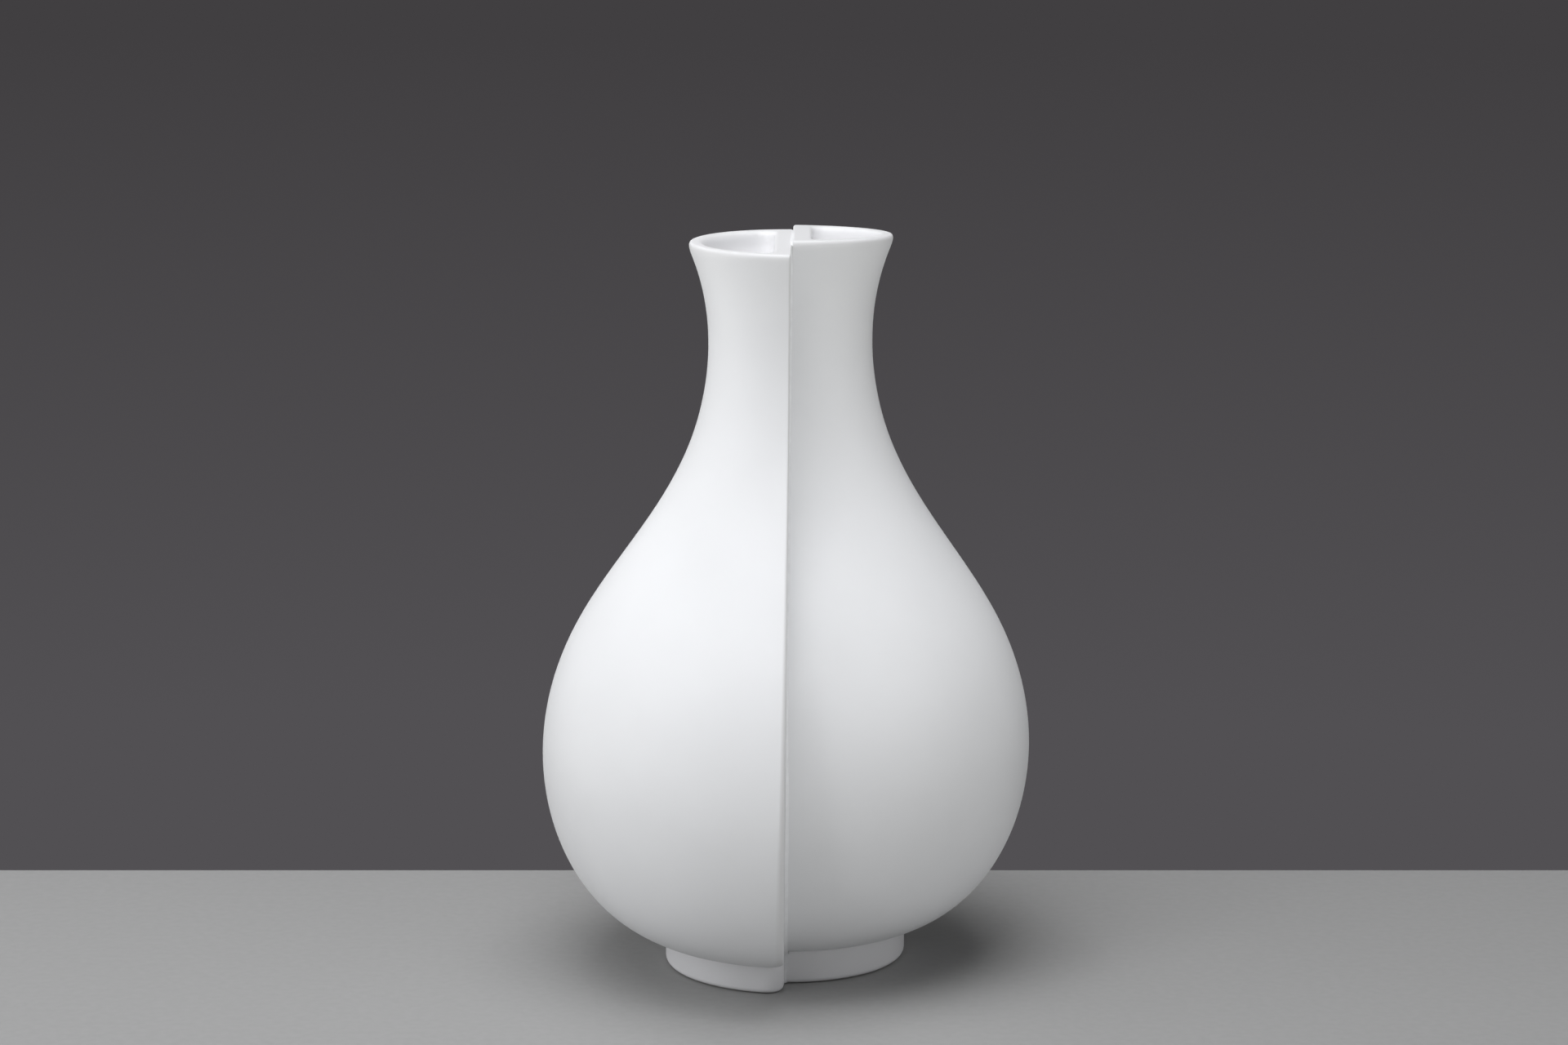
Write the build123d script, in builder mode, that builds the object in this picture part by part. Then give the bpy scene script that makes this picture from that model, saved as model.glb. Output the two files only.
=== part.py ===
from build123d import *
import math
import os

# A white glazed vase of two half-vessels of D-shaped section, luted flat wall to flat wall.
# The cut between the halves is the plane X = 0. The left half (-X) stands towards the front (-Y),
# the right half towards the back, and each leans a little further that way as it rises.

# How the halves stand
half_shift = 7.35
lean_angle = 1.3
bond_thickness = 0.6

# Outer profile of a half: its radius at each level, and the rise to that level from the one below.
# The right half's lip is the higher one.
foot_radius = 49.6
foot_rise = 12.8
underside_radius = 78.8
underside_rise = 17.0
belly_radius = 100.4
belly_rise = 59.0
shoulder_radius = 87.4
shoulder_rise = 52.0
slope_radius = 61.2
slope_rise = 40.0
throat_radius = 41.5
throat_rise = 35.0
neck_radius = 33.3
neck_rise = 42.0
lip_radius = 41.8
left_lip_rise = 40.4
right_lip_rise = 41.2

# Walls, the hollow under the floor, and how far the foot's blanks run up into the body they join
curved_wall = 6.0
lip_width = 6.0
left_flat_wall_thickness = 6.7
right_flat_wall_thickness = 8.0
foot_wall = 9.0
foot_recess = 10.0
foot_overlap = 3.0
stub_overlap = 6.0

# Rounded edges, and the turns that the half-round forms and the lip's roundings go through
lip_round = 1.6
foot_round = 1.2
free_edge_round = 1.6
foot_corner_round = 5.0
mouth_edge_round = 1.5
half_turn = 180
quarter_turn = 90

# Bead of slip in the corner between a half's curved side and the other half's flat wall.
# It lies on the curved side with a hair's gap, the seat.
bead_width = 1.9
bead_hollow = 0.3
bead_seat = 0.02
bead_below_rim = 3.0
bead_above_table = 0.6

# Levels above the table, along a half's own axis
foot_level = foot_rise
underside_level = foot_level + underside_rise
belly_level = underside_level + belly_rise
shoulder_level = belly_level + shoulder_rise
slope_level = shoulder_level + slope_rise
throat_level = slope_level + throat_rise
neck_level = throat_level + neck_rise

body_points = [
    (foot_radius, foot_level),
    (underside_radius, underside_level),
    (belly_radius, belly_level),
    (shoulder_radius, shoulder_level),
    (slope_radius, slope_level),
    (throat_radius, throat_level),
    (neck_radius, neck_level),
]

# Underside of the body within the foot, from the axis out
under_points = [(0, foot_recess), (foot_radius - foot_wall, foot_recess)]

os.makedirs("parts", exist_ok=True)


def outline(lip_rise):
    """Outer profile of a half, from the crease at its foot up to its lip."""
    return [*body_points, (lip_radius, neck_level + lip_rise)]


def hollow(outer_points):
    """Profile of the hollow: it follows the outside at the wall's thickness, measured square to the curve."""
    outer_curve = Spline(*outer_points)
    points = []
    for point in outer_points[:-1]:
        along = outer_curve.tangent_at(point)
        points.append(Vector(*point) + Vector(-along.Y, along.X) * curved_wall)
    points.append(Vector(lip_radius - lip_width, outer_points[-1][1]))
    return points


def half_plane(side, angle):
    """Plane of a half's profile: x runs out from its axis to the bonded edge, y runs up the axis."""
    outward = Vector(side, 0, 0)
    upward = Vector(0, side * math.sin(math.radians(angle)), math.cos(math.radians(angle)))
    return Plane(Vector(0, side * half_shift, 0), x_dir=outward.cross(upward), z_dir=-outward)


def cut_plane(side, distance):
    """Plane parallel to the cut, at a distance into a half, facing that half's round side."""
    return Plane(Vector(side * distance, 0, 0), z_dir=Vector(side, 0, 0))


def filled_section(plane, outer_points, *bottom):
    """Section of a half filled in to its axis, from its lip down to the given bottom points."""
    with BuildSketch(plane) as section:
        with BuildLine():
            outside = Spline(*outer_points)
            lip = JernArc(outside @ 1, (0, 1), lip_round, quarter_turn)
            Polyline(lip @ 1, (0, outer_points[-1][1] + lip_round), *bottom, outside @ 0)
        make_face()
    return section.sketch


def free_edge(part, side):
    """Long edge of a flat wall's bonded face, on the side that stands clear of the other half."""
    bonded = part.faces().filter_by(Axis.X).sort_by(Axis.X)[0 if side > 0 else -1]
    clear = bonded.edges().filter_by(lambda edge: side * edge.center().Y > foot_radius / 2)
    return clear.sort_by(SortBy.LENGTH)[-1]


def bead_section(plane):
    """Section of a bead: x runs from the cut into the half it lies on, y out from that half's side."""
    corner = -bond_thickness / 2
    dip = (corner + bead_width / 2 - bead_hollow, bead_width / 2 - bead_hollow)
    with BuildSketch(plane) as section:
        with BuildLine():
            Polyline(
                (corner, bead_seat),
                (corner + bead_width, bead_seat),
                dip,
                (corner, bead_width),
                close=True,
            )
        make_face()
    return section.sketch


left_outline = outline(left_lip_rise)
right_outline = outline(right_lip_rise)
for side, name, wall, outer_points in (
    (-1, "left", left_flat_wall_thickness, left_outline),
    (1, "right", right_flat_wall_thickness, right_outline),
):
    inner_points = hollow(outer_points)
    rim_level = outer_points[-1][1] + lip_round
    leaning = half_plane(side, lean_angle)
    upright = half_plane(side, 0)
    leaning_axis = Axis(leaning.origin, leaning.y_dir)
    upright_axis = Axis(upright.origin, upright.y_dir)
    bonded_face = cut_plane(side, bond_thickness / 2)
    wall_face = cut_plane(side, bond_thickness / 2 + wall)
    mouth_edge = Plane(
        leaning.origin + leaning.y_dir * rim_level - leaning.z_dir * (bond_thickness / 2 + wall),
        x_dir=-leaning.z_dir,
        z_dir=leaning.x_dir,
    )

    # Half-round wall with its lip and floor
    with BuildPart() as body_shell:
        with BuildSketch(leaning):
            with BuildLine():
                outside = Spline(*outer_points)
                inside = Spline(*inner_points)
                outer_lip = JernArc(outside @ 1, (0, 1), lip_round, quarter_turn)
                inner_lip = JernArc(inside @ 1, (0, 1), lip_round, -quarter_turn)
                Line(outer_lip @ 1, inner_lip @ 1)
                Polyline(inside @ 0, (0, inner_points[0].Y), *under_points, outside @ 0)
            make_face()
        revolve(axis=leaning_axis, revolution_arc=half_turn)
        split(bisect_by=wall_face, keep=Keep.TOP)
    body_shell.part.label = f"{name}_body_shell"
    export_step(body_shell.part, f"parts/{name}_body_shell.step")

    # Half-round foot, its top shaped to the underside of the wall
    with BuildPart() as foot_ring:
        with BuildSketch(upright) as foot_profile:
            with Locations((foot_radius - foot_wall / 2, 0)):
                Rectangle(foot_wall, foot_rise + foot_overlap, align=(Align.CENTER, Align.MIN))
            fillet(foot_profile.vertices().group_by(Axis.Y)[0], foot_round)
        revolve(axis=upright_axis, revolution_arc=half_turn)
        filled = filled_section(leaning, outer_points, *under_points)
        revolve(filled, axis=leaning_axis, revolution_arc=half_turn, mode=Mode.SUBTRACT)
        split(bisect_by=wall_face, keep=Keep.TOP)
    foot_ring.part.label = f"{name}_foot_ring"
    export_step(foot_ring.part, f"parts/{name}_foot_ring.step")

    # Stub of the flat wall that reaches down to the table between the ends of the foot
    with BuildPart() as wall_stub:
        with BuildSketch(upright):
            Rectangle(foot_radius, foot_rise + stub_overlap, align=(Align.MIN, Align.MIN))
        revolve(axis=upright_axis, revolution_arc=half_turn)
        split(bisect_by=bonded_face, keep=Keep.TOP)
        split(bisect_by=wall_face, keep=Keep.BOTTOM)
        fillet(free_edge(wall_stub.part, side), foot_corner_round)
        bottom_edges = wall_stub.edges().group_by(Axis.Z)[0].sort_by(Axis.X)
        fillet(bottom_edges[:-1] if side > 0 else bottom_edges[1:], foot_round)

    # Flat wall that closes the half along the cut, with its edge in the mouth rounded.
    # Below the crease it ends square to the curve, inside the stub.
    crease_point = Vector(*outer_points[0])
    stub_seat = crease_point + (inner_points[0] - crease_point).normalized() * foot_overlap
    with BuildPart() as flat_wall:
        filled = filled_section(leaning, outer_points, (0, stub_seat.Y), stub_seat)
        revolve(filled, axis=leaning_axis, revolution_arc=half_turn)
        split(bisect_by=bonded_face, keep=Keep.TOP)
        split(bisect_by=wall_face, keep=Keep.BOTTOM)
        fillet(free_edge(flat_wall.part, side), free_edge_round)
        add(wall_stub.part)
        with BuildSketch(mouth_edge):
            Rectangle(mouth_edge_round, mouth_edge_round, align=(Align.MAX, Align.MAX))
            with Locations((-mouth_edge_round, -mouth_edge_round)):
                Circle(mouth_edge_round, mode=Mode.SUBTRACT)
        extrude(amount=lip_radius - lip_width, both=True, mode=Mode.SUBTRACT)
    flat_wall.part.label = f"{name}_flat_wall"
    export_step(flat_wall.part, f"parts/{name}_flat_wall.step")

    # Bead along the bonded edge, in the corner against the other half's flat wall
    with BuildPart() as seam_bead:
        with BuildLine(leaning):
            seam = Spline(*outer_points)
        crease = seam @ 0
        section = bead_section(Plane(crease, x_dir=-leaning.z_dir, z_dir=-(seam % 0)))
        beside_seam = seam.moved(Location(leaning.z_dir * bead_width))
        sweep(section, path=seam, binormal=beside_seam)
        add(wall_stub.part, mode=Mode.SUBTRACT)
        foot_side = upright.origin + upright.x_dir * foot_radius + upright.y_dir * bead_above_table
        extrude(
            bead_section(Plane(foot_side, x_dir=-upright.z_dir, z_dir=-upright.y_dir)),
            amount=bead_above_table - crease.Z,
        )
        bead_top = leaning.origin + leaning.y_dir * (rim_level - bead_below_rim)
        split(bisect_by=Plane(bead_top, z_dir=leaning.y_dir), keep=Keep.BOTTOM)
    bead_name = "front_seam_bead" if side > 0 else "rear_seam_bead"
    seam_bead.part.label = bead_name
    export_step(seam_bead.part, f"parts/{bead_name}.step")

# Thin layer of slip where the two flat walls lie against each other, above their rounded bottom edges
with BuildPart() as luting_slip:
    for side, outer_points, mode in ((-1, left_outline, Mode.ADD), (1, right_outline, Mode.INTERSECT)):
        with BuildSketch(half_plane(side, lean_angle)):
            with BuildLine():
                outside = Spline(*outer_points)
                lip = JernArc(outside @ 1, (0, 1), lip_round, quarter_turn)
                Polyline(lip @ 1, (0, outer_points[-1][1] + lip_round), (0, foot_round))
                Polyline((0, foot_round), (foot_radius, foot_round), outside @ 0)
            make_face()
            mirror(about=Plane.YZ)
        extrude(amount=bond_thickness / 2, both=True, mode=mode)
luting_slip.part.label = "luting_slip"
export_step(luting_slip.part, "parts/luting_slip.step")
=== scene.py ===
import math

import bpy
import numpy as np
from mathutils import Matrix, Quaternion, Vector


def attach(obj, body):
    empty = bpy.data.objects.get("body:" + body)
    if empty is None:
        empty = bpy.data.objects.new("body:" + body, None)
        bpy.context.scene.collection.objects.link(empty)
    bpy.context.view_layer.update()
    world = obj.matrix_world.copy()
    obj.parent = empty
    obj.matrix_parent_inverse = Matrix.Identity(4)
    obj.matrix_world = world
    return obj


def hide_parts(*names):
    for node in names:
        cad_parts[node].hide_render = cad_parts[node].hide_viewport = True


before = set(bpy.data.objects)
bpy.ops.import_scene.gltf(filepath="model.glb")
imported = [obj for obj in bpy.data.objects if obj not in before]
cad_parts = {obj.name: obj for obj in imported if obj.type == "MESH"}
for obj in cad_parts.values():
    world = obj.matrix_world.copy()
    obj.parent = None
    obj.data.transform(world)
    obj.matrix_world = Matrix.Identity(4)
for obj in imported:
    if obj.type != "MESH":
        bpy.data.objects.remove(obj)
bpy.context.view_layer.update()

# A white glazed vase of two D-section halves, set flat to flat and slid past each other.
# Lengths are metres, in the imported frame: the cut is the plane X = 0, the left half stands forward (-Y).
MM = 0.001

# How the halves stand
half_shift = 7.35 * MM
lean_angle = math.radians(1.3)
bond = 0.6 * MM
flat_walls = {"left": 6.7 * MM, "right": 8.0 * MM}

# Outer profile of a half: radius and level at crease, underside, belly, shoulder, slope, throat and neck
body_profile = MM * np.array([
    (49.6, 12.8),
    (78.8, 29.8),
    (100.4, 88.8),
    (87.4, 140.8),
    (61.2, 180.8),
    (41.5, 215.8),
    (33.3, 257.8),
])
foot_radius, foot_level = body_profile[0]
lip_radius = 41.8 * MM
lip_levels = {"left": 298.2 * MM, "right": 299.0 * MM}
lip_round = 1.6 * MM
curved_wall = 6.0 * MM
lip_width = 6.0 * MM
foot_wall = 9.0 * MM
foot_recess = 10.0 * MM

# Rounded edges and corners
foot_round = 2.4 * MM
foot_corner = 7.0 * MM
bonded_corner = 0.2 * MM
hollow_corner = 5.0 * MM
mouth_edge_round = 1.5 * MM
seam_edge_rounds = {"left": 0.08 * MM, "right": 1.0 * MM}
lip_blend = 2.4 * MM
mouth_blend = 3.6 * MM
lip_flat = 0.9 * MM
crease_groove = 0.9 * MM
skin_inset = 0.04 * MM

# Step's front edge: level, and the radius it is rounded to there
free_corner_levels = MM * np.array([12.8, 22.0, 62.0, 79.0, 95.0, 126.0, 160.0, 190.0, 215.0])
free_corners = MM * np.array([6.0, 3.6, 3.0, 2.6, 2.2, 1.8, 1.4, 1.0, 0.8])

# Bead of slip in the corners of the step
bead_levels = MM * np.array([0.0, 90.0, 112.0, 150.0, 220.0])
bead_widths = MM * np.array([1.9, 1.9, 1.3, 1.05, 0.95])
bead_end_width = 0.3 * MM
bead_fade = 6.0 * MM
bead_sink = 0.06 * MM
bead_below_rim = 1.4 * MM
bead_above_table = 0.3 * MM

# Slip smoothed over the seam on the rim: from the left half's top up or down to the right half's
smear_left = -0.9 * MM
smear_right = 1.1 * MM
smear_taper = 12.0 * MM
smear_depth = 0.8 * MM
smear_sink = 0.04 * MM
smear_start = 1.8 * MM

# How many rings the skins are drawn with, how full a bend is, and how uneven the hand left things
side_rings = 150
hollow_rings = 110
lip_rings = 16
edge_steps = 6
crease_steps = 4
bead_rings = 170
bead_smoothings = 6
rim_seam_rings = 60
bend_fullness = 1.3
floor_edge = 1.5 * MM
side_unevenness = 0.25 * MM
bead_unevenness = 0.25


def curve_slopes(points):
    """Distances along a smooth curve through the points, and its slope at each of them."""
    steps = np.linalg.norm(np.diff(points, axis=0), axis=1)
    at = np.concatenate([[0.0], np.cumsum(steps)])
    rises = np.diff(points, axis=0) / steps[:, None]
    matrix = np.eye(len(points))
    wanted = np.zeros_like(points)
    for i in range(1, len(points) - 1):
        before, after = steps[i - 1], steps[i]
        matrix[i, i - 1 : i + 2] = after, 2 * (before + after), before
        wanted[i] = 3 * (after * rises[i - 1] + before * rises[i])
    for end, near in ((0, slice(0, 4)), (-1, slice(-4, None))):
        for axis in range(2):
            wanted[end, axis] = np.polyfit(at[near] - at[end], points[near, axis], 3)[2]
    return at, np.linalg.solve(matrix, wanted)


def along_curve(points, count):
    """Evenly spread points on the smooth curve through the given ones, and the curve's direction there."""
    at, slopes = curve_slopes(points)
    t = np.linspace(0, at[-1], count)
    i = np.clip(np.searchsorted(at, t) - 1, 0, len(points) - 2)
    h = (at[i + 1] - at[i])[:, None]
    u = (t - at[i])[:, None] / h
    place = (
        (2 * u**3 - 3 * u**2 + 1) * points[i]
        + (u**3 - 2 * u**2 + u) * h * slopes[i]
        + (3 * u**2 - 2 * u**3) * points[i + 1]
        + (u**3 - u**2) * h * slopes[i + 1]
    )
    way = (
        (6 * u**2 - 6 * u) * (points[i] - points[i + 1]) / h
        + (3 * u**2 - 4 * u + 1) * slopes[i]
        + (3 * u**2 - 2 * u) * slopes[i + 1]
    )
    return place, way / np.linalg.norm(way, axis=1)[:, None]


def outer_profile(name):
    """Outer profile of the named half, up to its lip."""
    return np.vstack([body_profile, (lip_radius, lip_levels[name])])


def hollow_profile(name):
    """Profile of the hollow: the wall's thickness inside the outer one, measured square to it."""
    outer = outer_profile(name)
    slopes = curve_slopes(outer)[1]
    square = np.stack([-slopes[:, 1], slopes[:, 0]], axis=1)
    inner = outer + curved_wall * square / np.linalg.norm(square, axis=1)[:, None]
    inner[-1, 0] = lip_radius - lip_width
    inner[-1, 1] = lip_levels[name]
    return inner


def blend(start, start_way, end, end_way, count):
    """Points of a soft bend from one place and direction to another."""
    reach = bend_fullness * math.dist(start, end)
    u = np.linspace(0, 1, count)[:, None]
    return (
        (2 * u**3 - 3 * u**2 + 1) * start
        + (u**3 - 2 * u**2 + u) * reach * np.array(start_way)
        + (3 * u**2 - 2 * u**3) * end
        + (u**3 - u**2) * reach * np.array(end_way)
    )


class Field:
    """A value in a node tree; arithmetic on it adds math nodes."""

    def __init__(self, tree, socket):
        self.tree = tree
        self.socket = socket

    def math(self, operation, *others):
        return node(self.tree, "ShaderNodeMath", dict(enumerate((self, *others))), operation=operation)

    def __add__(self, other):
        return self.math("ADD", other)

    def __sub__(self, other):
        return self.math("SUBTRACT", other)

    def __mul__(self, other):
        return self.math("MULTIPLY", other)

    def __truediv__(self, other):
        return self.math("DIVIDE", other)

    def share(self, start, length):
        """Runs from 0 to 1 while the value goes through the given length."""
        part = (self - start) / length
        return part.math("MAXIMUM", 0.0).math("MINIMUM", 1.0)


def node(tree, kind, inputs=None, output=0, **settings):
    """Adds a node, sets or links its inputs, and gives back one of its outputs."""
    made = tree.nodes.new(kind)
    for key, value in settings.items():
        setattr(made, key, value)
    for key, value in (inputs or {}).items():
        if isinstance(value, Field):
            tree.links.new(value.socket, made.inputs[key])
        else:
            made.inputs[key].default_value = value
    return Field(tree, made.outputs[output]) if made.outputs else made


def mix(tree, share, low, high):
    """Value between two others, by share."""
    return node(tree, "ShaderNodeMix", {0: share, 2: low, 3: high})


def shape_tree(name, **numbers):
    """Starts a geometry tree with named number inputs; gives the tree, its geometry and its numbers."""
    tree = bpy.data.node_groups.new(name, "GeometryNodeTree")
    tree.interface.new_socket("Geometry", in_out="INPUT", socket_type="NodeSocketGeometry")
    tree.interface.new_socket("Geometry", in_out="OUTPUT", socket_type="NodeSocketGeometry")
    for key, value in numbers.items():
        socket = tree.interface.new_socket(key, in_out="INPUT", socket_type="NodeSocketFloat")
        socket.default_value = value
    entry = tree.nodes.new("NodeGroupInput")
    fields = {key: Field(tree, entry.outputs[key]) for key in numbers}
    return tree, Field(tree, entry.outputs["Geometry"]), fields


def finish_tree(tree, shape, material):
    """Ends a geometry tree: smooth faces, real geometry, one material."""
    shape = node(tree, "GeometryNodeSetShadeSmooth", {0: shape})
    shape = node(tree, "GeometryNodeRealizeInstances", {0: shape})
    shape = node(tree, "GeometryNodeSetMaterial", {"Geometry": shape, "Material": material})
    node(tree, "NodeGroupOutput", {0: shape})


def rolled_sheet(tree, rings, columns, ends):
    """A tube with a ring for each point of the rings' mesh; gives the tube, ring and column numbers."""
    count = node(tree, "GeometryNodeAttributeDomainSize", {0: rings})
    last = count - 1.0
    tube = node(
        tree,
        "GeometryNodeMeshCylinder",
        {"Vertices": columns, "Side Segments": last, "Radius": 1.0, "Depth": last},
        fill_type=ends,
    )
    place = node(tree, "GeometryNodeInputPosition")
    split = tree.nodes.new("ShaderNodeSeparateXYZ")
    tree.links.new(place.socket, split.inputs[0])
    x, y, z = (Field(tree, socket) for socket in split.outputs)
    ring = (z + last * 0.5).math("ROUND")
    column = (y.math("ARCTAN2", x) * (columns / math.tau) + float(columns)).math("ROUND")
    return tube, ring, column.math("FLOORED_MODULO", float(columns))


def ring_value(tree, rings, ring, name, kind="FLOAT"):
    """A number that the rings' mesh holds, read for each ring."""
    held = node(tree, "GeometryNodeInputNamedAttribute", {"Name": name}, data_type=kind)
    return node(
        tree, "GeometryNodeSampleIndex", {"Geometry": rings, "Value": held, "Index": ring}, data_type=kind
    )


ring_keys = ("radius", "flat", "level", "free", "bonded", "leaning", "thrown", "thin_glaze_and_shade", "bare_and_contact_shade", "painted_light")


def half_tree(name, material, ends):
    """Skin of a half: D-shaped rings with rounded corners, leaned over and slid along the cut."""
    arc_columns, corner_columns, flat_columns = 132, 7, 28
    columns = arc_columns + flat_columns + 2 * corner_columns
    tree, rings, given = shape_tree(name, Lean=0.0, Slide=0.0, Side=1.0, Unevenness=0.0)
    tube, ring, column = rolled_sheet(tree, rings, columns, ends)
    radius, flat, level, free, bonded, leaning, thrown, thin_glaze_and_shade, bare_and_contact_shade, painted_light = (
        ring_value(tree, rings, ring, key) for key in ring_keys
    )

    # Shares of the way round: back over the curved side to the front, front corner, flat side, back corner
    over = column.share(0.0, arc_columns)
    front = column.share(arc_columns, corner_columns)
    across = column.share(arc_columns + corner_columns, flat_columns)
    back = column.share(columns - corner_columns, corner_columns)
    across = (across * math.pi).math("COSINE") * -0.5 + 0.5

    def corner(size):
        """Turn at which a rounded corner starts, and how far its centre lies along the cut."""
        reach = radius - size
        inset = flat + size
        turn = (inset / reach).math("ARCCOSINE")
        return turn, (reach * reach - inset * inset).math("SQRT")

    front_turn, front_centre = corner(free)
    back_turn, back_centre = corner(bonded)
    turn = (front_turn + back_turn) * over - back_turn
    turn = turn + (front_turn * -1.0 + math.pi) * front + (back_turn * -1.0 + math.pi) * back
    cosine, sine = turn.math("COSINE"), turn.math("SINE")

    # The thrown side is a little uneven, always inward, and true at its edges
    waves_round, waves_up = 0.9, 26.0
    spot = node(
        tree, "ShaderNodeCombineXYZ", {0: cosine * waves_round, 1: sine * waves_round, 2: level * waves_up}
    )
    noise = node(tree, "ShaderNodeTexNoise", {"Vector": spot, "Scale": 1.0, "Detail": 1.0})
    window = (over * math.pi).math("SINE")
    curved = radius - noise * window * thrown * given["Unevenness"]

    corner_size = mix(tree, across, free, bonded)
    corner_y = mix(tree, across, front_centre * -1.0, back_centre)
    on_arc = column.math("LESS_THAN", arc_columns + 0.5)
    x = mix(tree, on_arc, (flat + corner_size + corner_size * cosine) * -1.0, curved * cosine * -1.0)
    y = mix(tree, on_arc, corner_y - corner_size * sine, curved * sine * -1.0)

    # Lean over about the X axis, slide along the cut, and turn half round for the right half
    tilt = given["Lean"] * leaning
    leaned_y = y * tilt.math("COSINE") - level * tilt.math("SINE") - given["Slide"]
    leaned_z = y * tilt.math("SINE") + level * tilt.math("COSINE")
    place = node(
        tree, "ShaderNodeCombineXYZ", {0: x * given["Side"], 1: leaned_y * given["Side"], 2: leaned_z}
    )

    # Glaze runs thin over the lip and the step's rounded edge; on the lip its grey is also painted shade
    # that holds down the highlight.
    # These values, with bare clay and painted light, are kept on the tube before it is put in place, because
    # ring and column are read from where its points lie.
    edge = (front * math.pi).math("SINE")
    thin_glaze_and_shade = thin_glaze_and_shade.math("MAXIMUM", edge * thrown)
    shape = tube
    for key, value in (("thin_glaze_and_shade", thin_glaze_and_shade), ("bare_and_contact_shade", bare_and_contact_shade), ("painted_light", painted_light)):
        shape = node(
            tree, "GeometryNodeStoreNamedAttribute", {"Geometry": shape, "Name": key, "Value": value}
        )
    shape = node(tree, "GeometryNodeSetPosition", {"Geometry": shape, "Position": place})
    if ends == "NONE":
        shape = node(tree, "GeometryNodeMergeByDistance", {"Geometry": shape, "Distance": 0.002 * MM})
    finish_tree(tree, shape, material)
    return tree


def bead_tree(name, material):
    """A hollow-faced bead along a seam, set in the corner between a curved side and a flat one."""
    columns = 12
    hollowness = 0.25
    tree, rings, given = shape_tree(name, Side=1.0, Unevenness=0.0)
    tube, ring, column = rolled_sheet(tree, rings, columns, "NGON")
    width = ring_value(tree, rings, ring, "width")
    sink = ring_value(tree, rings, ring, "sink")
    spot = ring_value(tree, rings, ring, "seam", "FLOAT_VECTOR")
    outward = ring_value(tree, rings, ring, "outward", "FLOAT_VECTOR")

    lumps = node(tree, "ShaderNodeTexNoise", {"Vector": spot, "Scale": 110.0, "Detail": 2.0})
    width = width * (lumps * given["Unevenness"] - given["Unevenness"] + 1.0)
    face = column.share(1.0, columns - 2.0)
    off_corner = column.math("MINIMUM", 1.0)
    bend = face * (math.pi / 2)
    along = mix(tree, hollowness, face * -1.0 + 1.0, bend.math("SINE") * -1.0 + 1.0)
    out = mix(tree, hollowness, face, bend.math("COSINE") * -1.0 + 1.0)
    lift = out * off_corner * width + (out - 1.0) * sink
    raised = node(tree, "ShaderNodeVectorMath", {0: outward, "Scale": lift}, operation="SCALE")
    beside = node(tree, "ShaderNodeCombineXYZ", {0: along * off_corner * width * -1.0 + bond / 2})
    place = node(tree, "ShaderNodeVectorMath", {0: spot, 1: raised}, operation="ADD")
    place = node(tree, "ShaderNodeVectorMath", {0: place, 1: beside}, operation="ADD")
    sides = node(tree, "ShaderNodeCombineXYZ", {0: given["Side"], 1: given["Side"], 2: 1.0})
    place = node(tree, "ShaderNodeVectorMath", {0: place, 1: sides}, operation="MULTIPLY")
    shape = node(tree, "GeometryNodeSetPosition", {"Geometry": tube, "Position": place})
    finish_tree(tree, shape, material)
    return tree


def smear_tree(name, material):
    """A strip along the seam on the rim, whose top goes in a soft bend from one level to the other."""
    columns, top_columns = 24, 20
    tree, rings, given = shape_tree(name, Right=0.0, Depth=0.0)
    tube, ring, column = rolled_sheet(tree, rings, columns, "NGON")
    spot = ring_value(tree, rings, ring, "seam", "FLOAT_VECTOR")
    height = ring_value(tree, rings, ring, "height")
    left = ring_value(tree, rings, ring, "left")
    over = column.share(0.0, top_columns)
    under = column.share(top_columns, columns - top_columns - 1.0)
    below = column.math("GREATER_THAN", top_columns + 0.5)
    bend = over * over * (over * -2.0 + 3.0)
    top = height * bend
    bottom = height.math("MINIMUM", 0.0) - given["Depth"]
    x = mix(tree, over - under * below, left, given["Right"])
    z = mix(tree, below, top, bottom)
    aside = node(tree, "ShaderNodeCombineXYZ", {0: x, 2: z})
    place = node(tree, "ShaderNodeVectorMath", {0: spot, 1: aside}, operation="ADD")
    shape = node(tree, "GeometryNodeSetPosition", {"Geometry": tube, "Position": place})
    finish_tree(tree, shape, material)
    return tree


def grown(name, tree, values, numbers):
    """Object grown by a tree from rings that hold the given values, as a plain mesh."""
    count = len(next(iter(values.values())))
    rings = bpy.data.meshes.new(name + "_rings")
    rings.from_pydata([(0, 0, i) for i in range(count)], [], [])
    for key, column in values.items():
        column = np.asarray(column, dtype=np.float32)
        kind = "FLOAT_VECTOR" if column.ndim == 2 else "FLOAT"
        held = rings.attributes.new(key, kind, "POINT")
        held.data.foreach_set("vector" if column.ndim == 2 else "value", column.ravel())
    source = bpy.data.objects.new(name + "_source", rings)
    bpy.context.scene.collection.objects.link(source)
    growth = source.modifiers.new("growth", "NODES")
    growth.node_group = tree
    for item in tree.interface.items_tree:
        if item.in_out == "INPUT" and item.name in numbers:
            growth[item.identifier] = numbers[item.name]
    source.modifiers.new("soft_edges", "WEIGHTED_NORMAL")
    view = bpy.context.evaluated_depsgraph_get()
    mesh = bpy.data.meshes.new_from_object(source.evaluated_get(view), depsgraph=view)
    mesh.name = name
    bpy.data.objects.remove(source)
    bpy.data.meshes.remove(rings)
    piece = bpy.data.objects.new(name, mesh)
    bpy.context.scene.collection.objects.link(piece)
    return piece


def ring_row(radius, flat, level, free, bonded, leaning=1, thrown=0, thin_glaze_and_shade=0, bare_and_contact_shade=0, painted_light=0):
    """One D-shaped ring: its sizes, its two corners, its share of the lean, what covers it, and its painted
    light and shade.
    """
    return radius, flat, level, free, bonded, leaning, thrown, thin_glaze_and_shade, bare_and_contact_shade, painted_light


def ring_table(rows):
    """Columns of a table of rings."""
    return dict(zip(ring_keys, np.array(rows).T))


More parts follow.
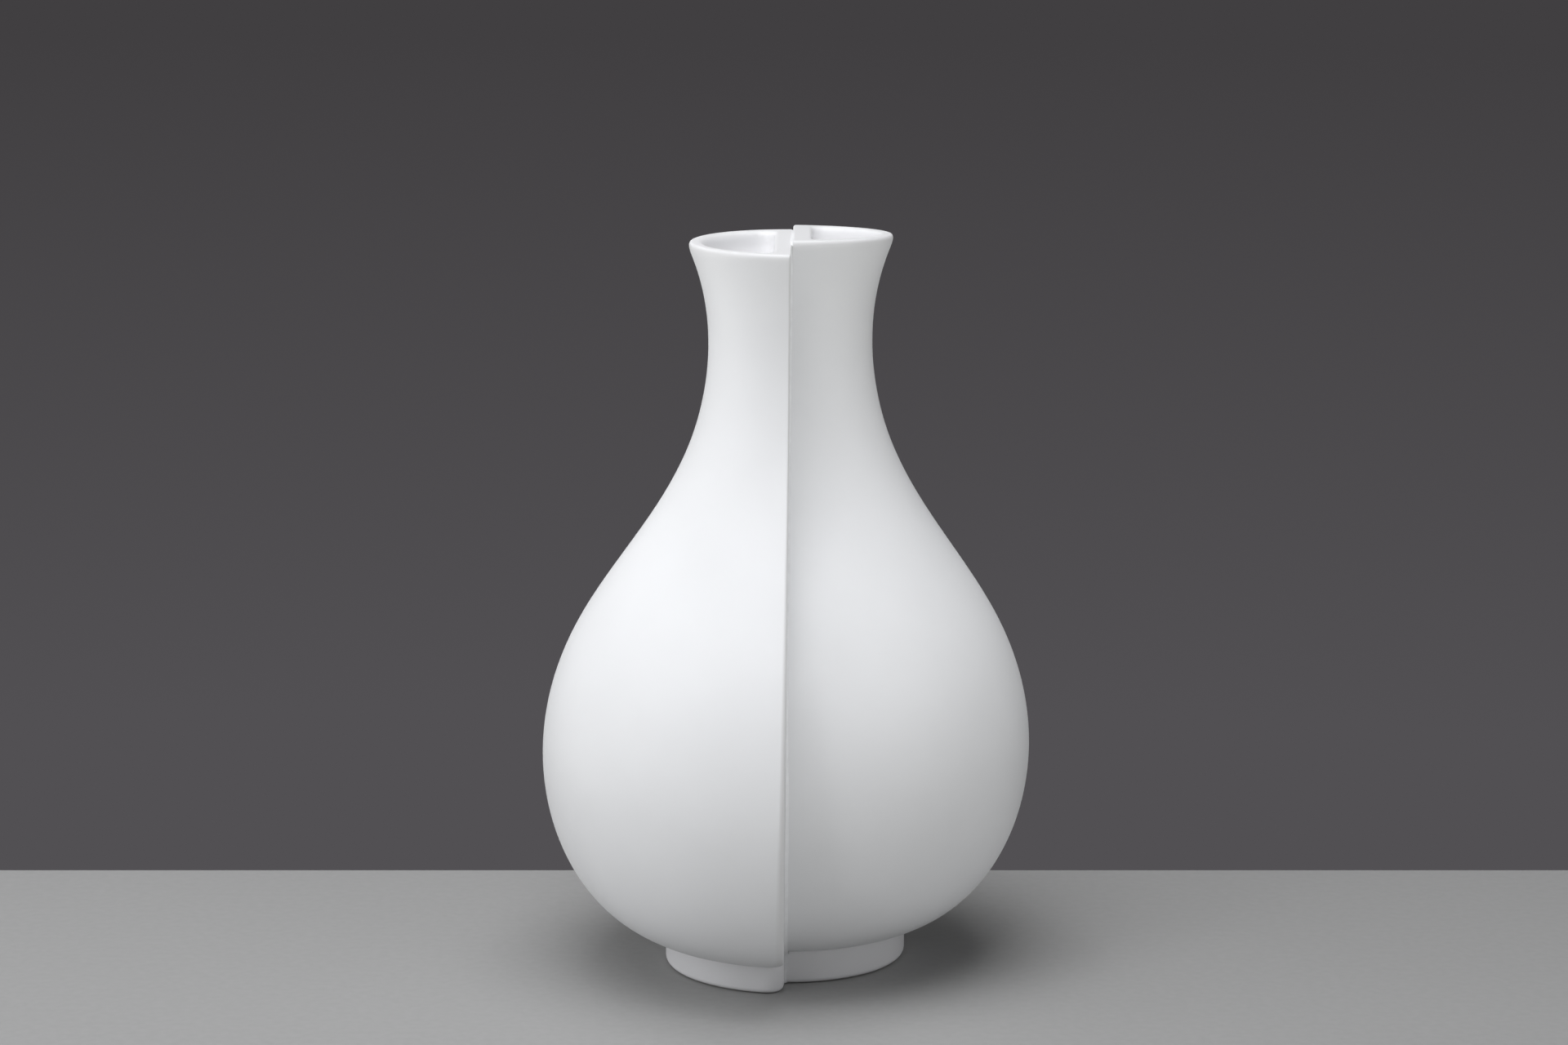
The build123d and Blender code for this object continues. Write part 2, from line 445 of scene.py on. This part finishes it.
def body_rings(name):
    """Rings of a half's body: from under the floor up the outside, over the lip, down into the hollow."""
    bonded_flat = bond / 2
    hollow_flat = bond / 2 + flat_walls[name]
    lip_level = lip_levels[name]
    rim_level = lip_level + lip_round
    seam_round = seam_edge_rounds[name]
    hollow = hollow_profile(name)
    rows = [
        ring_row(foot_radius - foot_wall, hollow_flat, foot_recess, hollow_corner, hollow_corner),
        ring_row(foot_radius - crease_groove, bonded_flat, foot_level, free_corners[0], bonded_corner),
    ]

    # Outside, up to where the lip starts
    outside, outside_way = along_curve(outer_profile(name), side_rings)
    keep = outside[:, 1] < lip_level - lip_blend
    outside, outside_way = outside[keep], outside_way[keep]
    outside[:, 0] -= skin_inset
    for radius, level in outside[1:]:
        free = np.interp(level, free_corner_levels, free_corners)
        rows.append(ring_row(radius, bonded_flat, level, free, bonded_corner, thrown=1))

    # Lip: the glaze runs thin on it, greyed partly as painted shade, and painted light whitens the mouth
    # below it
    inside, inside_way = along_curve(hollow, hollow_rings)
    keep = inside[:, 1] < lip_level - mouth_blend
    inside, inside_way = inside[keep][::-1], -inside_way[keep][::-1]
    lip_middle = lip_radius - lip_width / 2
    outer_top = np.array([lip_middle + lip_flat, rim_level])
    inner_top = np.array([lip_middle - lip_flat, rim_level])
    fade = np.linspace(0, 1, lip_rings)
    fade = fade**2 * (3 - 2 * fade)
    outer_bend = blend(outside[-1], outside_way[-1], outer_top, (-1, 0), lip_rings)
    inner_bend = blend(inner_top, (-1, 0), inside[0], inside_way[0], lip_rings)
    for (radius, level), thin_glaze_and_shade in zip(outer_bend[1:], fade[1:]):
        rise = max(0.0, level - (rim_level - seam_round))
        flat = bonded_flat + seam_round - math.sqrt(max(0.0, seam_round**2 - rise**2))
        rows.append(ring_row(radius, flat, level, free_corners[-1], bonded_corner, thrown=1, thin_glaze_and_shade=thin_glaze_and_shade))
    for (radius, level), depth in zip(inner_bend[:-1], fade[:-1]):
        rise = max(0.0, level - (rim_level - mouth_edge_round))
        flat = hollow_flat - mouth_edge_round + math.sqrt(max(0.0, mouth_edge_round**2 - rise**2))
        thin_glaze_and_shade = 1 - depth
        rows.append(ring_row(radius, flat, level, hollow_corner, hollow_corner, thin_glaze_and_shade=thin_glaze_and_shade, painted_light=depth))

    # Hollow, down to its floor, made whiter all through as painted light
    for radius, level in inside:
        rows.append(ring_row(radius, hollow_flat, level, hollow_corner, hollow_corner, painted_light=1))
    radius, level = hollow[0]
    radius, flat = radius - floor_edge, hollow_flat + floor_edge
    rows.append(ring_row(radius, flat, level, hollow_corner, hollow_corner, painted_light=1))
    return ring_table(rows)


def foot_rings(name):
    """Rings of a half's foot, once round its wall: down in the recess, under, up the outside and back."""
    bonded_flat = bond / 2
    hollow_flat = bond / 2 + flat_walls[name]
    inner_radius = foot_radius - foot_wall
    top = ring_row(inner_radius, hollow_flat, foot_recess, hollow_corner, hollow_corner)
    rows = [top]

    # Rounded inner edge, on which the glaze gives way to bare clay
    for step in range(edge_steps + 1):
        angle = math.pi / 2 * step / edge_steps
        in_by = foot_round * (1 - math.cos(angle))
        radius, flat = inner_radius + in_by, hollow_flat - in_by
        level = foot_round * (1 - math.sin(angle))
        corner = hollow_corner + in_by
        bare_and_contact_shade = step / edge_steps
        rows.append(ring_row(radius, flat, level, corner, hollow_corner, leaning=0, bare_and_contact_shade=bare_and_contact_shade))

    # Rounded outer edge: bare clay at the bottom, darkened as painted shade of the foot's contact with the
    # table, glazed again a little above the table
    bare_and_shade_steps = 4
    for step in range(edge_steps + 1):
        angle = math.pi / 2 * step / edge_steps
        in_by = foot_round * (1 - math.sin(angle))
        radius, flat = foot_radius - in_by, bonded_flat + in_by
        level = foot_round * (1 - math.cos(angle))
        corner = foot_corner - in_by
        bare_and_contact_shade = max(0.0, 1 - step / bare_and_shade_steps)
        rows.append(ring_row(radius, flat, level, corner, bonded_corner, leaning=0, bare_and_contact_shade=bare_and_contact_shade, painted_light=1))

    # Outside, and the groove of the crease under the body; painted light whitens the foot's glaze here
    for step in range(1, edge_steps):
        share = step / edge_steps
        level = foot_round + (foot_level - crease_groove - foot_round) * share
        corner = foot_corner + (free_corners[0] - foot_corner) * share
        rows.append(ring_row(foot_radius, bonded_flat, level, corner, bonded_corner, leaning=share, painted_light=1))
    for step in range(crease_steps + 1):
        angle = math.pi / 2 * step / crease_steps
        radius = foot_radius - crease_groove * (1 - math.cos(angle))
        level = foot_level - crease_groove * (1 - math.sin(angle))
        rows.append(ring_row(radius, bonded_flat, level, free_corners[0], bonded_corner, painted_light=1))
    rows.append(top)
    return ring_table(rows)


def seam_rings(name):
    """Rings of a bead up the bonded edge of the named half, set out as if that were the left one."""
    outside, way = along_curve(outer_profile(name), bead_rings)
    keep = outside[:, 1] < lip_levels[name] + lip_round - bead_below_rim
    outside, way = outside[keep], way[keep]
    tilt_cos, tilt_sin = math.cos(lean_angle), math.sin(lean_angle)
    seam, outward = [], []
    crease_z = foot_radius * tilt_sin + foot_level * tilt_cos
    crease_y = foot_radius * tilt_cos - foot_level * tilt_sin - half_shift
    edge_levels = np.linspace(bead_above_table, foot_round, edge_steps)[:-1]
    side_levels = np.linspace(foot_round, crease_z, edge_steps + 1)[:-1]
    for level in (*edge_levels, *side_levels):
        short = max(0.0, foot_round - level)
        in_by = foot_round - math.sqrt(foot_round**2 - short**2)
        lean = (crease_y - foot_radius + half_shift) * level / crease_z
        seam.append((0, foot_radius - half_shift + lean - in_by, level))
        outward.append((0, 1, 0))
    for (radius, level), (run, rise) in zip(outside, way):
        seam.append((
            0,
            radius * tilt_cos - level * tilt_sin - half_shift,
            radius * tilt_sin + level * tilt_cos,
        ))
        outward.append((0, rise * tilt_cos + run * tilt_sin, rise * tilt_sin - run * tilt_cos))
    seam, outward = np.array(seam), np.array(outward)
    on_wall = seam.copy()

    # The bead runs softly past the crease, and sinks in by as much as that takes it off the wall
    for held in (seam, outward):
        for _ in range(bead_smoothings):
            held[1:-1] = (held[:-2] + 2 * held[1:-1] + held[2:]) / 4
    outward /= np.linalg.norm(outward, axis=1)[:, None]
    width = np.interp(seam[:, 2], bead_levels, bead_widths)
    end = np.clip((seam[-1, 2] - seam[:, 2]) / bead_fade, 0, 1)
    return {
        "seam": seam,
        "outward": outward,
        "width": bead_end_width + (width - bead_end_width) * end,
        "sink": bead_sink + np.linalg.norm(seam - on_wall, axis=1),
    }


def smear_rings():
    """Rings of the strip on the rim's seam: along the left half's top, as far as both tops reach."""
    tilt_cos, tilt_sin = math.cos(lean_angle), math.sin(lean_angle)
    left_rim, right_rim = (lip_levels[name] + lip_round for name in ("left", "right"))
    reach = lip_radius - half_shift - right_rim * tilt_sin
    along = np.linspace(smear_start - reach, reach, rim_seam_rings)
    left_top = (left_rim + (along + half_shift) * tilt_sin) / tilt_cos
    right_top = (right_rim - (along - half_shift) * tilt_sin) / tilt_cos
    lip_start = reach - (lip_width / 2 - lip_flat)
    turned = np.clip((np.abs(along) - lip_start) / (reach - lip_start), 0, 1)
    drop = lip_blend * (1 - np.sqrt(1 - turned**2))
    front = along < 0
    height = right_top - left_top
    height = np.where(front, np.maximum(height - drop, 0.0), height)
    base = left_top - smear_sink - np.where(front, 0.0, drop)
    seam = np.stack([np.zeros_like(along), along, base], axis=1)
    taper = np.clip((along - along[0]) / smear_taper, 0, 1)
    grow = np.sin(taper * math.pi / 2)
    left = bond / 2 + (smear_left - bond / 2) * grow
    return {"seam": seam, "height": height * grow, "left": left}


def srgb(red, green, blue):
    """Linear colour from the three screen values."""
    values = np.array([red, green, blue]) / 255
    linear = np.where(values <= 0.04045, values / 12.92, ((values + 0.055) / 1.055) ** 2.4)
    return (*linear.tolist(), 1.0)


def new_material(name):
    """Empty material; gives it, its tree and its surface node."""
    material = bpy.data.materials.new(name)
    material.use_nodes = True
    tree = material.node_tree
    return material, tree, tree.nodes["Principled BSDF"]


def colour_mix(tree, share, low, high):
    """Colour between two others, by share."""
    return node(tree, "ShaderNodeMix", {0: share, 6: low, 7: high}, output=2, data_type="RGBA")


glaze_gloss = 0.32


def satin_glaze():
    """Satin white glaze: faintly clouded, greyer where thin on edges and as painted shade on the lip, whiter
    in the hollow and on the feet as painted light, with a rare pinhead speck, and dark bare clay that also
    paints shade along the foot's contact.
    """
    material, tree, surface = new_material("satin_white_glaze")
    spot = node(tree, "ShaderNodeTexCoord", output="Object")
    clouds = node(tree, "ShaderNodeTexNoise", {"Vector": spot, "Scale": 16.0, "Detail": 3.0})
    grain = node(tree, "ShaderNodeTexNoise", {"Vector": spot, "Scale": 900.0, "Detail": 2.0})
    swell = node(tree, "ShaderNodeTexNoise", {"Vector": spot, "Scale": 70.0, "Detail": 1.0})
    colour = colour_mix(tree, clouds.share(0.3, 0.4), srgb(236, 237, 238), srgb(241, 242, 243))
    # Painted shade: thin glaze greys the edges, and on the lip the grey also holds down the highlight
    thin_glaze_and_shade = node(tree, "ShaderNodeAttribute", output="Fac", attribute_name="thin_glaze_and_shade")
    colour = colour_mix(tree, thin_glaze_and_shade * (clouds.share(0.35, 0.3) * 0.3 + 0.5), colour, srgb(226, 226, 226))
    # Painted light: the hollow and the feet are made whiter in place of light bounced onto them
    painted_light = node(tree, "ShaderNodeAttribute", output="Fac", attribute_name="painted_light")
    colour = colour_mix(tree, painted_light, colour, srgb(247, 247, 248))
    cells = node(tree, "ShaderNodeTexVoronoi", {"Vector": spot, "Scale": 42.0}, output="Distance")
    chosen = Field(tree, cells.socket.node.outputs["Color"])
    pick = node(tree, "ShaderNodeSeparateColor", {0: chosen})
    speck = cells.math("LESS_THAN", 0.016) * pick.math("GREATER_THAN", 0.86)
    colour = colour_mix(tree, speck * 0.5, colour, srgb(120, 112, 104))
    # Bare clay under the foot, made dark and run up the outer edge as painted shade of the contact with the
    # table
    bare_and_contact_shade = node(tree, "ShaderNodeAttribute", output="Fac", attribute_name="bare_and_contact_shade")
    clay_and_contact_shade = colour_mix(tree, grain.share(0.3, 0.4), srgb(84, 78, 69), srgb(102, 94, 84))
    colour = colour_mix(tree, bare_and_contact_shade, colour, clay_and_contact_shade)
    tree.links.new(colour.socket, surface.inputs["Base Color"])
    roughness = clouds * 0.1 + swell * 0.06 + 0.42 + bare_and_contact_shade * 0.3
    tree.links.new(roughness.socket, surface.inputs["Roughness"])
    surface.inputs["Specular IOR Level"].default_value = glaze_gloss
    bump = node(
        tree, "ShaderNodeBump",
        {"Height": grain * 0.12 + swell * 0.6 - speck * 0.5, "Strength": 0.3, "Distance": 0.12 * MM},
    )
    tree.links.new(bump.socket, surface.inputs["Normal"])
    return material


def slip_white():
    """Smeared white slip under the same glaze: a little rougher and lumpier."""
    material, tree, surface = new_material("white_slip")
    spot = node(tree, "ShaderNodeTexCoord", output="Object")
    smear = node(tree, "ShaderNodeTexNoise", {"Vector": spot, "Scale": 240.0, "Detail": 3.0})
    colour = colour_mix(tree, smear.share(0.3, 0.4), srgb(235, 236, 237), srgb(242, 243, 244))
    tree.links.new(colour.socket, surface.inputs["Base Color"])
    tree.links.new((smear * 0.12 + 0.42).socket, surface.inputs["Roughness"])
    surface.inputs["Specular IOR Level"].default_value = glaze_gloss
    bump = node(tree, "ShaderNodeBump", {"Height": smear, "Strength": 0.3, "Distance": 0.15 * MM})
    tree.links.new(bump.socket, surface.inputs["Normal"])
    return material


def table_grey():
    """Matt pale grey table."""
    material, tree, surface = new_material("matt_table")
    spot = node(tree, "ShaderNodeTexCoord", output="Object")
    grain = node(tree, "ShaderNodeTexNoise", {"Vector": spot, "Scale": 260.0, "Detail": 3.0})
    colour = colour_mix(tree, grain.share(0.3, 0.4), srgb(160, 160, 159), srgb(164, 164, 163))
    tree.links.new(colour.socket, surface.inputs["Base Color"])
    surface.inputs["Roughness"].default_value = 0.65
    surface.inputs["Specular IOR Level"].default_value = 0.3
    return material


# Pieces
glaze = satin_glaze()
slip = slip_white()
body_skin = half_tree("half_body_skin", glaze, "NGON")
foot_skin = half_tree("half_foot_skin", glaze, "NONE")
bead_skin = bead_tree("seam_bead_skin", slip)
smear_skin = smear_tree("rim_seam_skin", glaze)
for name, side in (("left", 1.0), ("right", -1.0)):
    stance = {"Lean": lean_angle, "Slide": half_shift, "Side": side}
    half = grown(f"{name}_half", body_skin, body_rings(name), {**stance, "Unevenness": side_unevenness})
    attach(half, "root")
    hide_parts(f"{name}_body_shell", f"{name}_flat_wall")
    foot = grown(f"{name}_foot", foot_skin, foot_rings(name), stance)
    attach(foot, "root")
    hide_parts(f"{name}_foot_ring")
for name, half, side in (("rear_bead", "left", 1.0), ("front_bead", "right", -1.0)):
    bead = grown(name, bead_skin, seam_rings(half), {"Side": side, "Unevenness": bead_unevenness})
    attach(bead, "root")
    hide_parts(name.replace("bead", "seam_bead"))
rim_seam = grown("rim_seam", smear_skin, smear_rings(), {"Right": smear_right, "Depth": smear_depth})
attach(rim_seam, "root")
luting = bpy.data.objects["luting_slip"]
luting.data.materials.clear()
luting.data.materials.append(slip)

# Camera
view = bpy.data.objects.new("camera", bpy.data.cameras.new("camera"))
bpy.context.scene.collection.objects.link(view)
bpy.context.scene.camera = view
view.data.lens = 83.88
view.data.sensor_width = 36.0
view.data.sensor_fit = "HORIZONTAL"
yaw, pitch, roll = math.radians(-0.324), math.radians(10.391), math.radians(0.51)
forward = Vector((math.sin(yaw) * math.cos(pitch), math.cos(yaw) * math.cos(pitch), -math.sin(pitch)))
view.location = (0.0061, -1.46903, 0.45247)
view.rotation_mode = "QUATERNION"
view.rotation_quaternion = forward.to_track_quat("-Z", "Y") @ Quaternion((0, 0, 1), roll)

# Table: its far edge lies level in the picture, a little behind the vase
picture_width, picture_height, table_edge_row = 1920, 1280, 1066
focal = view.data.lens / view.data.sensor_width * picture_width
table_reach = 1.3 * picture_width
far_edge = []
for across in (-table_reach, table_reach):
    ray = view.rotation_quaternion @ Vector((across, picture_height / 2 - table_edge_row, -focal))
    far_edge.append(view.location + ray * (-view.location.z / ray.z))
table_front = -1.1
table_depth = 0.03
left_x, right_x = far_edge[0].x, far_edge[1].x
top = [(left_x, table_front), (right_x, table_front), tuple(far_edge[1].xy), tuple(far_edge[0].xy)]
corners = [(x, y, 0.0) for x, y in top] + [(x, y, -table_depth) for x, y in top]
sides = [(0, 1, 2, 3), (7, 6, 5, 4), (0, 4, 5, 1), (1, 5, 6, 2), (2, 6, 7, 3), (3, 7, 4, 0)]
slab = bpy.data.meshes.new("table")
slab.from_pydata(corners, [], sides)
slab.materials.append(table_grey())
table = bpy.data.objects.new("table", slab)
bpy.context.scene.collection.objects.link(table)

# Room: dark grey where it is seen, darker towards the top. It gives no light of its own
backdrop_low, backdrop_rise = -0.23, 0.18
room = bpy.data.worlds.new("room")
bpy.context.scene.world = room
room.use_nodes = True
tree = room.node_tree
tree.nodes.clear()
ray_kind = tree.nodes.new("ShaderNodeLightPath")
seen = Field(tree, ray_kind.outputs["Is Camera Ray"])
for kind in ("Is Glossy Ray", "Is Transmission Ray"):
    seen = seen.math("MAXIMUM", Field(tree, ray_kind.outputs[kind]))
way = node(tree, "ShaderNodeTexCoord", output="Generated")
upward = node(tree, "ShaderNodeSeparateXYZ", {0: way}, output="Z")
grey = colour_mix(tree, upward.share(backdrop_low, backdrop_rise), srgb(82, 80, 83), srgb(65, 63, 65))
backdrop = node(tree, "ShaderNodeBackground", {"Color": grey, "Strength": seen})
node(tree, "ShaderNodeOutputWorld", {"Surface": backdrop})

# Soft lamps: turn from the front towards the right, height above the vase's middle (degrees), strength
cool_light = (0.998, 1.0, 1.022)
aim = Vector((0, 0, 0.15))
lamp_distance = 1.6
lamp_size = 1.2
lamps = (
    ("overhead_lamp", 0, 88, 14.7),
    ("front_left_lamp", -25, 60, 10.4),
    ("low_left_lamp", -60, 20, 9.6),
    ("side_left_lamp", -90, 20, 1.9),
    ("low_right_lamp", 60, 20, 5.3),
    ("behind_left_lamp", -150, 35, 2.2),
)

# Lamps lying on the table outside the picture, in place of light off its top: place, size, strength
warm_light = (1.0, 0.995, 0.96)
table_lamps = (
    ("front_bounce", (0.0, -0.58), (1.0, 0.8), 0.6),
    ("front_right_bounce", (0.75, -0.55), (0.6, 0.8), 4.8),
    ("left_bounce", (-0.9, 0.05), (0.8, 0.5), 4.3),
)
bounce_height = 0.003


def soft_lamp(name, wide, deep, strength, colour, place, way):
    """Rectangular lamp at a place, shining along the given way."""
    lamp = bpy.data.lights.new(name, "AREA")
    lamp.shape = "RECTANGLE"
    lamp.size, lamp.size_y = wide, deep
    lamp.energy = strength
    lamp.color = colour
    stand = bpy.data.objects.new(name, lamp)
    bpy.context.scene.collection.objects.link(stand)
    stand.location = place
    stand.rotation_mode = "QUATERNION"
    stand.rotation_quaternion = way.to_track_quat("-Z", "Y")


for name, turn, height, strength in lamps:
    turn, height = math.radians(turn), math.radians(height)
    way = Vector((math.sin(turn) * math.cos(height), -math.cos(turn) * math.cos(height), math.sin(height)))
    soft_lamp(name, lamp_size, lamp_size, strength, cool_light, aim + way * lamp_distance, -way)
for name, place, (wide, deep), strength in table_lamps:
    soft_lamp(name, wide, deep, strength, warm_light, (*place, bounce_height), Vector((0, 0, 1)))

bpy.context.scene.view_settings.view_transform = "Standard"
